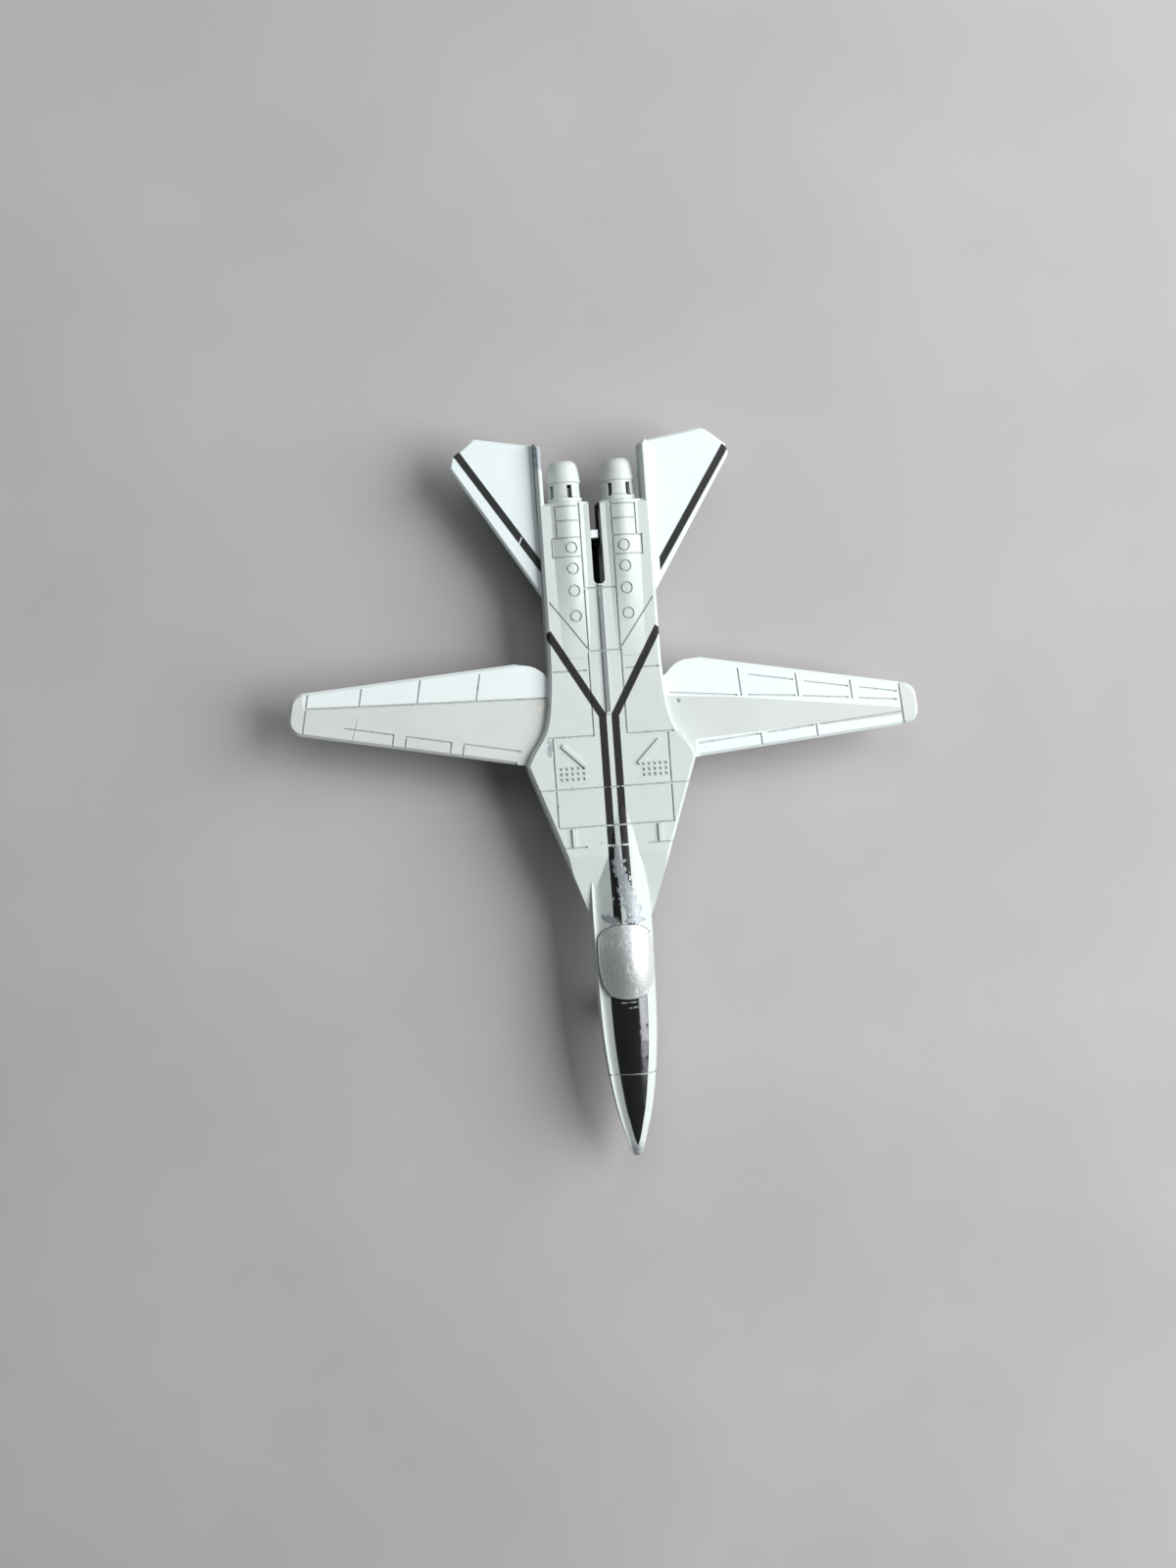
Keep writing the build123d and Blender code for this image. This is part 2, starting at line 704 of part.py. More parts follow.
def wing_root_outline():
    """Wing inside its slot: a round root about the pivot and the curve of the trailing edge."""
    root_te = root_chord - leading_edge
    centre_y = root_radius - leading_edge
    lean = root_radius * cos(radians(45))
    with BuildLine() as line:
        ThreePointArc(
            (-lean, centre_y + lean), (-root_radius, centre_y), (-lean, centre_y - lean),
        )
        ThreePointArc(
            (-lean, centre_y - lean),
            (-root_radius * sin(radians(22.5)), centre_y - root_radius * cos(radians(22.5))),
            (0, -leading_edge),
        )
        Line((0, -leading_edge), (wing_root_x, -leading_edge))
        Line((wing_root_x, -leading_edge), (wing_root_x, root_te))
        ThreePointArc((wing_root_x, root_te), (3.4, root_te - 0.55), (2.0, root_te - 1.7))
        Line((2.0, root_te - 1.7), (-lean, centre_y + lean))
    make_face(line.edges())


def wing(sweep, lines):
    """A wing on the port side, swept aft by so many degrees."""
    low = parting_z + wing_gap
    base = Plane(
        origin=(pivot_x, pivot_y, low), x_dir=(cos(radians(sweep)), sin(radians(sweep)), 0), z_dir=(0, 0, 1),
    )
    with BuildPart() as panel:
        with BuildSketch(base):
            outer_wing_outline()
        extrude(amount=wing_thickness)
        rims = panel.faces().filter_by(Axis.Z).edges().filter_by(
            lambda edge: edge.center().X > pivot_x + root_te_x + 2
        )
        chamfer(rims, wing_edge)
        with BuildSketch(base):
            wing_root_outline()
        extrude(amount=wing_thickness)
        with BuildSketch(base.offset(wing_thickness - groove_depth)):
            for start, end in lines:
                strip(start, end, groove_width)
        extrude(amount=groove_depth + 1, mode=Mode.SUBTRACT)
        with BuildSketch(base):
            Circle(pivot_radius + pivot_fit)
        extrude(amount=wing_thickness, mode=Mode.SUBTRACT)
    return panel


port_wing = wing(port_sweep, port_wing_lines)
export(port_wing, "port_wing")

starboard_wing = mirrored(wing(starboard_sweep, starboard_wing_lines).part)
export(starboard_wing, "starboard_wing")


def wing_pivot(side):
    """Pin that a wing turns on, held in the lower casting."""
    low = parting_z - lip - 1.2
    with BuildPart() as pin:
        with BuildSketch(Plane.XY.offset(low)):
            with Locations((side * pivot_x, pivot_y)):
                Circle(pivot_radius)
        extrude(amount=slot_top_z + 0.7 - low)
        chamfer(pin.edges().group_by(Axis.Z)[-1], 0.25)
    return pin


export(wing_pivot(1), "port_wing_pivot")
export(wing_pivot(-1), "starboard_wing_pivot")


# ---- tailplanes ----------------------------------------------------------------------
def tailplane(tip_round):
    """Port tailplane with its root tab."""
    root_x = deck_half + side_gap
    corner_x, corner_y = tail_sweep_corner
    tip_x, tip_y = tail_tip
    low = parting_z + side_gap
    with BuildPart() as plane:
        with BuildSketch(Plane.XY.offset(low)) as planform:
            with BuildLine():
                Polyline(
                    (root_x, tail_root_y), (corner_x, corner_y), (corner_x - 0.4, corner_y + 1.6),
                    (tip_x, tip_y), (root_x, tail_te_root_y), close=True,
                )
            make_face()
            outer = planform.vertices().filter_by(lambda v: v.X > root_x + 1)
            fillet(outer.sort_by(Axis.Y)[-1], tip_round)
            outer = planform.vertices().filter_by(lambda v: v.X > tip_x + 2)
            fillet(outer.sort_by(Axis.Y)[0], 0.8)
        extrude(amount=tail_thickness)
        rims = plane.faces().filter_by(Axis.Z).edges().filter_by(lambda edge: edge.center().X > root_x + 0.5)
        chamfer(rims, 0.35)
        with BuildSketch(Plane.XY.offset(low)):
            tail_tab(0)
        extrude(amount=tail_thickness)
        with BuildSketch(Plane.XY.offset(low)):
            with Locations(peg_place):
                Circle(peg_radius + side_gap)
        extrude(amount=tail_thickness, mode=Mode.SUBTRACT)
    return plane


port_tailplane = tailplane(2.4)
export(port_tailplane, "port_tailplane")

starboard_tailplane = mirrored(tailplane(0.9).part)
export(starboard_tailplane, "starboard_tailplane")


# ---- nozzles -------------------------------------------------------------------------
def nozzle(side, first_window):
    """Hollow nozzle with a flange that the castings trap and a ring of windows."""
    bore = nozzle_radius - 0.95
    face = tail_deck_y + side_gap
    end = face + nozzle_length
    flange_y = tail_deck_y - stub_length
    with BuildPart() as tube:
        with BuildSketch(Plane.XY.offset(parting_z)):
            with BuildLine():
                Polyline(
                    (0, flange_y), (flange_radius, flange_y), (flange_radius, flange_y + flange_length),
                    (stub_radius, flange_y + flange_length), (stub_radius, face),
                    (nozzle_radius, face), (nozzle_radius, face + 0.8),
                    (nozzle_radius - 0.25, face + 1.0), (nozzle_radius - 0.3, face + 3.1),
                    (nozzle_radius - 0.1, face + 3.3), (nozzle_radius - 0.3, face + 4.9),
                    (nozzle_radius - 0.5, end - 0.8), (nozzle_radius - 0.75, end - 0.3),
                    (nozzle_radius - 1.1, end), (bore - 0.45, end), (bore, end - 0.9),
                    (bore, face + 0.4), (0, face + 0.4), close=True,
                )
            make_face()
        revolve(axis=Axis((0, 0, parting_z), (0, 1, 0)))
        with BuildSketch(across(face + window_start).shift_origin((0, face + window_start, parting_z))):
            with PolarLocations(nozzle_radius - 0.2, nozzle_windows, start_angle=first_window):
                Rectangle(2 * wall, window_width)
        extrude(amount=-window_length, mode=Mode.SUBTRACT)
    with BuildPart() as placed:
        with Locations((side * nozzle_x, 0, 0)):
            add(tube.part)
    return placed


export(nozzle(1, 57), "port_nozzle")
export(nozzle(-1, 75), "starboard_nozzle")


# ---- canopy --------------------------------------------------------------------------
with BuildPart() as canopy:
    length = canopy_rear_y - canopy_front_y
    for share, half, height in (
        # share of the length from the front, half width, height over the parting plane
        (-0.06, canopy_half, canopy_rise - 1.7),
        (0.16, canopy_half + 0.4, canopy_rise - 0.75),
        (0.45, canopy_half + 0.55, canopy_rise),
        (0.72, canopy_half + 0.6, canopy_rise - 0.3),
        (1.03, canopy_half + 0.5, fuselage_top + 0.15),
    ):
        y = canopy_front_y + share * length
        with BuildSketch(across(y).shift_origin((0, y, parting_z))):
            oval(half, height, 4)
    loft()
    with BuildSketch(Plane.XY.offset(canopy_seat_z)):
        canopy_footprint(0)
    extrude(amount=9, mode=Mode.INTERSECT)
export(canopy, "canopy")


# ---- screws and the fin's root tab ---------------------------------------------------
with BuildPart() as body_screws:
    head_low = belly_z + 0.3
    for y in screw_places:
        with Locations((0, y, head_low)):
            Cylinder(screw_head_radius, screw_head_height, align=(Align.CENTER, Align.CENTER, Align.MIN))
            Cylinder(
                screw_shank_radius, parting_z + 2.4 - head_low, align=(Align.CENTER, Align.CENTER, Align.MIN),
            )
            Box(1.9, 0.4, 1.0, mode=Mode.SUBTRACT)
            Box(0.4, 1.9, 1.0, mode=Mode.SUBTRACT)
export(body_screws, "body_screws")

with BuildPart() as fin_root_tab:
    with BuildSketch(Plane.XY.offset(fin_tab_low)):
        with Locations((fin_tab_x, fin_tab_y)):
            Rectangle(*fin_tab)
    extrude(amount=deck_z - 0.5 - fin_tab_low)
    chamfer(fin_root_tab.faces().sort_by(Axis.Z)[-1].edges(), 0.15)
export(fin_root_tab, "fin_root_tab")


# ---- undercarriage -------------------------------------------------------------------
def wheel(radius, width, bore, x):
    """Tyre and hub in one, turning about X with its inner face at x."""
    with BuildPart() as made:
        with BuildSketch(Plane.YZ.offset(x)):
            Circle(radius)
            Circle(bore, mode=Mode.SUBTRACT)
        extrude(amount=width)
        rims = made.edges().filter_by(GeomType.CIRCLE).sort_by(SortBy.RADIUS)[-2:]
        fillet(rims, 0.35)
        for face_x, depth in ((x, 0.3), (x + width, -0.3)):
            with BuildSketch(Plane.YZ.offset(face_x)):
                Circle(radius - 0.8)
                Circle(bore + 0.45, mode=Mode.SUBTRACT)
            extrude(amount=depth, mode=Mode.SUBTRACT)
    return made


def placed_wheel(made, y, z):
    """A wheel moved to its axle."""
    with BuildPart() as placed:
        with Locations((0, y, z)):
            add(made.part)
    return placed


export(
    placed_wheel(
        wheel(nose_wheel_radius, nose_wheel_width, nose_axle_radius + wheel_fit, -nose_wheel_width / 2),
        nose_wheel_y, nose_wheel_radius,
    ),
    "nose_wheel",
)
for name, side in (("port_main_wheel", 1), ("starboard_main_wheel", -1)):
    inner_face = bracket_half + wheel_side
    start = inner_face if side > 0 else -inner_face - main_wheel_width
    export(
        placed_wheel(
            wheel(main_wheel_radius, main_wheel_width, main_axle_radius + wheel_fit, start),
            main_wheel_y, main_wheel_radius,
        ),
        name,
    )

with BuildPart() as nose_gear_leg:
    fork_inner = nose_wheel_width / 2 + 0.2
    fork_outer = fork_inner + 0.6
    crown_low = 2 * nose_wheel_radius + 0.2
    with BuildSketch(across(nose_wheel_y)):
        with BuildLine():
            Polyline(
                (-fork_outer, nose_wheel_radius - 0.8), (-fork_inner, nose_wheel_radius - 0.8),
                (-fork_inner, crown_low), (fork_inner, crown_low), (fork_inner, nose_wheel_radius - 0.8),
                (fork_outer, nose_wheel_radius - 0.8), (fork_outer, nose_bay_z), (-fork_outer, nose_bay_z),
                close=True,
            )
        make_face()
    extrude(amount=0.75, both=True)
    with BuildSketch(Plane.XY.offset(nose_bay_z)):
        with Locations((0, nose_wheel_y)):
            Circle(stem_radius)
    extrude(amount=stem_height)
    with BuildSketch(Plane.YZ):
        with Locations((nose_wheel_y, nose_wheel_radius)):
            Circle(nose_axle_radius)
    extrude(amount=fork_outer, both=True, mode=Mode.SUBTRACT)
export(nose_gear_leg, "nose_gear_leg")

with BuildPart() as nose_axle:
    with BuildSketch(Plane.YZ):
        with Locations((nose_wheel_y, nose_wheel_radius)):
            Circle(nose_axle_radius)
    extrude(amount=fork_outer, both=True)
export(nose_axle, "nose_axle")

with BuildPart() as main_gear_bracket:
    with BuildSketch(Plane.YZ):
        with BuildLine():
            Polyline(
                (main_wheel_y - 1.3, main_wheel_radius - 1.2), (main_wheel_y + 1.3, main_wheel_radius - 1.2),
                (main_wheel_y + 2.4, belly_z), (main_wheel_y - 2.4, belly_z), close=True,
            )
        make_face()
    extrude(amount=bracket_half, both=True)
    with Locations((0, main_wheel_y, belly_z)):
        Box(*bracket_plug, align=(Align.CENTER, Align.CENTER, Align.MIN))
    with BuildSketch(Plane.YZ):
        with Locations((main_wheel_y, main_wheel_radius)):
            Circle(main_axle_radius)
    extrude(amount=bracket_half, both=True, mode=Mode.SUBTRACT)
export(main_gear_bracket, "main_gear_bracket")

with BuildPart() as main_axle:
    cap_x = bracket_half + main_wheel_width + 2 * wheel_side
    with BuildSketch(Plane.YZ):
        with Locations((main_wheel_y, main_wheel_radius)):
            Circle(main_axle_radius)
    extrude(amount=cap_x, both=True)
    for side in (1, -1):
        with BuildSketch(Plane.YZ.offset(side * cap_x)):
            with Locations((main_wheel_y, main_wheel_radius)):
                Circle(main_axle_radius + 0.4)
        extrude(amount=side * axle_cap)
export(main_axle, "main_axle")
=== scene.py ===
import math

import bpy
from mathutils import Matrix, Vector

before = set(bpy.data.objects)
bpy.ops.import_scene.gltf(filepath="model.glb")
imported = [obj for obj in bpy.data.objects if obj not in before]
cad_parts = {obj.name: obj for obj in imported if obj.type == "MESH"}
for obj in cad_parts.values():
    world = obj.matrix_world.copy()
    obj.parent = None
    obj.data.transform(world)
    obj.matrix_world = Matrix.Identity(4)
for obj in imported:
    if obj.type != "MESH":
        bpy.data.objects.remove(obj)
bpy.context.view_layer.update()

MM = 0.001

# Colours, linear RGB
GREY_PAINT = (0.585, 0.655, 0.648, 1)
GREY_PAINT_LIGHT = (0.62, 0.69, 0.675, 1)
GREY_PAINT_DULL = (0.50, 0.55, 0.53, 1)
GREY_WING = (0.60, 0.655, 0.625, 1)
GREY_WING_LIGHT = (0.635, 0.69, 0.66, 1)
GREY_WING_DULL = (0.52, 0.56, 0.53, 1)
WHITE_PRINT = (0.80, 0.88, 0.89, 1)
WHITE_PRINT_DULL = (0.74, 0.82, 0.84, 1)
WHITE_PLASTIC = (0.80, 0.89, 0.90, 1)
WHITE_PLASTIC_DULL = (0.76, 0.86, 0.88, 1)
WHITE_PLASTIC_RUBBED = (0.55, 0.58, 0.56, 1)
PALE_PLASTIC = (0.62, 0.68, 0.66, 1)
PALE_PLASTIC_DULL = (0.55, 0.61, 0.59, 1)
# black of the print, also the painted shade inside the fin slot
BLACK_PRINT_AND_SHADE = (0.012, 0.012, 0.014, 1)
PANEL_BLACK = (0.085, 0.088, 0.095, 1)
UNLIT_INSIDE = (0.03, 0.03, 0.03, 1)
BARE_ZINC = (0.30, 0.36, 0.40, 1)
BARE_ZINC_LIGHT = (0.46, 0.50, 0.505, 1)
WORN_SPINE = (0.235, 0.26, 0.27, 1)
CREAM_STAIN = (0.80, 0.76, 0.62, 1)
# dirt colour for specks, also the colour of the painted shade in grooves and corners
GRIME_AND_SHADE = (0.16, 0.155, 0.14, 1)
SILVER = (0.60, 0.625, 0.64, 1)
SILVER_LIGHT = (0.74, 0.77, 0.78, 1)
SILVER_SCRATCH = (0.86, 0.90, 0.91, 1)
SILVER_RUBBED = (0.42, 0.44, 0.46, 1)
SILVER_PIT = (0.25, 0.26, 0.27, 1)
STEEL = (0.42, 0.42, 0.42, 1)
STEEL_LIGHT = (0.60, 0.60, 0.59, 1)
# painted shade in the pins' hollows
STEEL_HOLLOW_SHADE = (0.10, 0.09, 0.08, 1)
GEAR_GREY = (0.15, 0.155, 0.16, 1)
GEAR_GREY_LIGHT = (0.21, 0.215, 0.22, 1)
GEAR_RUBBED = (0.36, 0.37, 0.37, 1)
WHEEL_BLACK = (0.014, 0.014, 0.015, 1)
WHEEL_DUST = (0.10, 0.095, 0.085, 1)
WHEEL_RUBBED = (0.09, 0.09, 0.09, 1)
FLOOR_DARK = (0.42, 0.415, 0.41, 1)
FLOOR_LIGHT = (0.46, 0.455, 0.45, 1)


# ---- shader nodes written as arithmetic ------------------------------------------------
class Field:
    """A number that varies over a surface; arithmetic on it adds shader nodes."""

    def __init__(self, paint, socket):
        self.paint = paint
        self.socket = socket

    def _math(self, operation, *terms, clamp=False):
        made = self.paint.node("Math", operation=operation, use_clamp=clamp)
        for socket, term in zip(made.inputs, terms):
            self.paint.feed(socket, term)
        return Field(self.paint, made.outputs[0])

    def __add__(self, other):
        return self._math("ADD", self, other)

    def __sub__(self, other):
        return self._math("SUBTRACT", self, other)

    def __rsub__(self, other):
        return self._math("SUBTRACT", other, self)

    def __mul__(self, other):
        return self._math("MULTIPLY", self, other)

    __radd__ = __add__
    __rmul__ = __mul__

    def __abs__(self):
        return self._math("ABSOLUTE", self)

    def power(self, exponent):
        return self._math("POWER", self, exponent)

    def most(self, other):
        return self._math("MAXIMUM", self, other)

    def ramp(self, low, high):
        """0 at low, 1 at high, clamped; low may be the larger."""
        made = self.paint.node("MapRange", clamp=True)
        for name, term in (("Value", self), ("From Min", low), ("From Max", high)):
            self.paint.feed(made.inputs[name], term)
        return Field(self.paint, made.outputs["Result"])

    def inside(self, low, high, soft=0.05):
        """1 between low and high."""
        return self.ramp(low - soft, low + soft) * self.ramp(high + soft, high - soft)

    def curve(self, points):
        """Straight runs through the points (value, result); results lie from 0 to 1."""
        low, high = points[0][0], points[-1][0]
        made = self.paint.node("FloatCurve")
        line = made.mapping.curves[0]
        for index, (value, result) in enumerate(points):
            place = (value - low) / (high - low)
            if index in (0, len(points) - 1):
                line.points[0 if index == 0 else -1].location = (place, result)
            else:
                line.points.new(place, result)
        made.mapping.update()
        self.paint.feed(made.inputs["Value"], self.ramp(low, high))
        return Field(self.paint, made.outputs[0])


class Paint:
    """One procedural material. Places are in millimetres in the part's own frame.

    A material that has patches or blobs sets ragged, the noise that tears their edges.
    """

    def __init__(self, name):
        self.material = bpy.data.materials.new(name)
        self.material.use_nodes = True
        self.tree = self.material.node_tree
        self.tree.nodes.clear()
        place = self.node("TexCoord").outputs["Object"]
        scaled = self.node("VectorMath", operation="SCALE")
        self.feed(scaled.inputs[0], place)
        scaled.inputs["Scale"].default_value = 1 / MM
        self.place = scaled.outputs[0]
        parts = self.node("SeparateXYZ")
        self.feed(parts.inputs[0], self.place)
        self.x, self.y, self.z = (Field(self, parts.outputs[i]) for i in range(3))
        geometry = self.node("NewGeometry")
        self.normal = geometry.outputs["Normal"]
        up = self.node("SeparateXYZ")
        self.feed(up.inputs[0], self.normal)
        self.up = Field(self, up.outputs[2])

    def node(self, kind, **settings):
        made = self.tree.nodes.new("ShaderNode" + kind)
        for key, value in settings.items():
            setattr(made, key, value)
        return made

    def feed(self, socket, term):
        if isinstance(term, Field):
            term = term.socket
        if isinstance(term, bpy.types.NodeSocket):
            self.tree.links.new(term, socket)
        else:
            socket.default_value = term

    def noise(self, size, detail=3.0, stretch=(1, 1, 1), seed=0.0, rough=0.55, twist=0.0):
        """Cloudy noise about 0.5, with features of roughly that size."""
        spread = self.node("Mapping")
        self.feed(spread.inputs["Vector"], self.place)
        spread.inputs["Scale"].default_value = stretch
        spread.inputs["Location"].default_value = (seed * 7.3, seed * 3.1, seed * 5.7)
        made = self.node("TexNoise")
        self.feed(made.inputs["Vector"], spread.outputs[0])
        made.inputs["Scale"].default_value = 1 / size
        made.inputs["Detail"].default_value = detail
        made.inputs["Roughness"].default_value = rough
        made.inputs["Distortion"].default_value = twist
        return Field(self, made.outputs[0])

    def specks(self, spacing, size, seed=0.0):
        """Small round dots, 1 inside, at random places about spacing apart."""
        spread = self.node("Mapping")
        self.feed(spread.inputs["Vector"], self.place)
        spread.inputs["Location"].default_value = (seed * 3.7, seed * 9.1, seed * 1.3)
        made = self.node("TexVoronoi")
        self.feed(made.inputs["Vector"], spread.outputs[0])
        made.inputs["Scale"].default_value = 1 / spacing
        near = Field(self, made.outputs["Distance"]) * spacing
        chance = self.node("SeparateColor")
        self.feed(chance.inputs[0], made.outputs["Color"])
        bigger = Field(self, chance.outputs[0]).power(2.0) * size
        return (near - bigger).ramp(0.02, -0.02)

    def hollows(self, reach=0.5):
        """1 in grooves and corners narrower than about reach, 0 in the open. It is the ambient occlusion, so
        colour mixed by it is painted shade.
        """
        made = self.node("AmbientOcclusion", samples=8, only_local=True)
        made.inputs["Distance"].default_value = reach * MM
        return 1 - Field(self, made.outputs["AO"])

    def edges(self, radius=0.2):
        """1 on sharp edges, 0 on flats."""
        soft = self.node("Bevel", samples=6)
        soft.inputs["Radius"].default_value = radius * MM
        dot = self.node("VectorMath", operation="DOT_PRODUCT")
        self.feed(dot.inputs[0], soft.outputs[0])
        self.feed(dot.inputs[1], self.normal)
        return Field(self, dot.outputs["Value"]).ramp(0.995, 0.9)

    def mix(self, share, first, second):
        """first where share is 0, second where it is 1."""
        made = self.node("Mix", data_type="RGBA", clamp_factor=True)
        self.feed(made.inputs["Factor"], share)
        self.feed(made.inputs[6], first)
        self.feed(made.inputs[7], second)
        return made.outputs[2]

    def blob(self, x, y, radius, jag=0.5):
        """A ragged spot seen from above."""
        across = (self.x - x) * (self.x - x)
        along = (self.y - y) * (self.y - y)
        near = (across + along).power(0.5)
        torn = near + (self.ragged - 0.5) * (2 * jag * radius)
        return torn.ramp(radius + 0.04, radius - 0.04)

    def patch(self, start, end, half, jag):
        """A ragged patch round the run from start to end, seen from above."""
        length = math.dist(start, end)
        ux, uy = (end[0] - start[0]) / length, (end[1] - start[1]) / length
        dx, dy = self.x - start[0], self.y - start[1]
        along = dx * ux + dy * uy
        past = abs(along - length / 2) - length / 2
        beside = dx * uy - dy * ux
        past = past.most(0.0)
        near = (past * past + beside * beside).power(0.5)
        return (near + (self.ragged - 0.5) * jag).ramp(half + 0.03, half - 0.03)

    def bar(self, start, end, half, soft=0.05, x=None, y=None):
        """A straight bar from start to end, seen from above."""
        x = self.x if x is None else x
        y = self.y if y is None else y
        length = math.dist(start, end)
        ux, uy = (end[0] - start[0]) / length, (end[1] - start[1]) / length
        dx, dy = x - start[0], y - start[1]
        along = dx * ux + dy * uy
        beside = abs(dx * uy - dy * ux)
        return beside.ramp(half + soft, half - soft) * along.inside(0, length, soft)

    def beyond(self, start, end, x, y, soft=0.05):
        """1 on the left of the line from start to end, seen from above."""
        length = math.dist(start, end)
        ux, uy = (end[0] - start[0]) / length, (end[1] - start[1]) / length
        return ((y - start[1]) * ux - (x - start[0]) * uy).ramp(-soft, soft)

    def finish(self, colour, rough, height, metal=0.0, bevel=0.12, specular=0.5):
        """Wires the surface. height is in millimetres; edges are softened by bevel millimetres."""
        shader = self.node("BsdfPrincipled")
        self.feed(shader.inputs["Base Color"], colour)
        self.feed(shader.inputs["Roughness"], rough)
        self.feed(shader.inputs["Metallic"], metal)
        shader.inputs["Specular IOR Level"].default_value = specular
        bump = self.node("Bump")
        bump.inputs["Strength"].default_value = 1.0
        bump.inputs["Distance"].default_value = MM
        self.feed(bump.inputs["Height"], height)
        if bevel:
            soft = self.node("Bevel", samples=6)
            soft.inputs["Radius"].default_value = bevel * MM
            self.feed(bump.inputs["Normal"], soft.outputs[0])
        self.feed(shader.inputs["Normal"], bump.outputs[0])
        output = self.node("OutputMaterial")
        self.tree.links.new(shader.outputs[0], output.inputs["Surface"])
        return self.material


def dress(names, material):
    """Gives CAD nodes their material."""
    for name in names:
        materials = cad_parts[name].data.materials
        materials.clear()
        materials.append(material)


# ---- painted castings ------------------------------------------------------------------
# Lengths are in millimetres. x grows to port, y to the tail and z up.
STRIPE_X = 1.02
STRIPE_HALF = 0.62
STRIPE_REAR = 13.0
STRIPE_FRONT = -20.8
STRIPE_SOFT = 0.04
ARM_END = (8.9, 26.3)
DECK_UP = (0.25, 0.45)          # how far a face looks up before it takes the print
DECK_Z = (9.5, 9.8)
PANEL_UNIT = 3.0                # the half width that 1 stands for in PANEL_HALF
PANEL_REAR = (-31.0, -31.2)
PANEL_Z = (8.8, 9.0)
PANEL_SCRATCHES = (
    # start, end, half width, lowest noise that shows
    ((-1.3, -33.1), (1.4, -33.0), 0.10, 0.4), ((-0.6, -34.0), (1.6, -33.8), 0.08, 0.45),
)
PANEL_JOINT = (-44.72, -44.55)
STRAKE_CHIP_X = (-9.2, -7.5)
STRAKE_CHIP_Y = (52.3, 57.0)
NOSE_TIP = (-55.6, -57.2)
SPINE_HALF = 0.42
SPINE_Y = (13.2, 33.4)
SPINE_Z = (11.5, 11.62)
FIN_SLOT_HALF = (1.0, 0.9)
FIN_SLOT_Y = (33.0, 47.5)
FIN_SLOT_Z = (10.9, 10.3)
SCRIBED_MARK = ((10.9, 9.5), (13.2, 5.6))
PANEL_HALF = (
    # from the nose tip to the canopy: place along the length, half width in PANEL_UNIT
    (-56.3, 0.0), (-55.0, 0.15), (-52.5, 0.33), (-50.0, 0.50), (-47.0, 0.64), (-44.5, 0.735),
    (-40.0, 0.87), (-35.0, 0.94), (-31.0, 0.96),
)
STRIPE_BREAKS = (1.3, -4.8, -8.0)     # panel lines that cross the stripes
BREAK_HALF = 0.13
BARE_PATCHES = (
    # start, end, half width, raggedness
    ((-0.3, -8.4), (-0.2, -10.8), 0.45, 2.6), ((-0.2, -10.8), (0.4, -15.0), 0.85, 3.6),
    ((0.4, -15.0), (1.7, -18.8), 1.05, 4.0), ((-2.5, -19.6), (-1.3, -20.4), 0.75, 3.0),
    ((0.9, -20.0), (2.6, -19.9), 0.50, 3.0), ((-9.9, 7.0), (-9.7, 8.8), 0.32, 1.8),
    ((-9.7, 14.2), (-9.5, 15.4), 0.10, 0.9), ((10.9, 10.4), (10.5, 14.2), 0.10, 1.1),
    ((-9.1, -1.3), (-9.0, -1.2), 0.10, 0.2), ((-6.8, 1.7), (-6.7, 1.7), 0.10, 0.2),
    ((-3.7, 0.6), (-3.6, 0.6), 0.08, 0.2), ((-2.7, -7.6), (-2.6, -7.5), 0.10, 0.2),
)


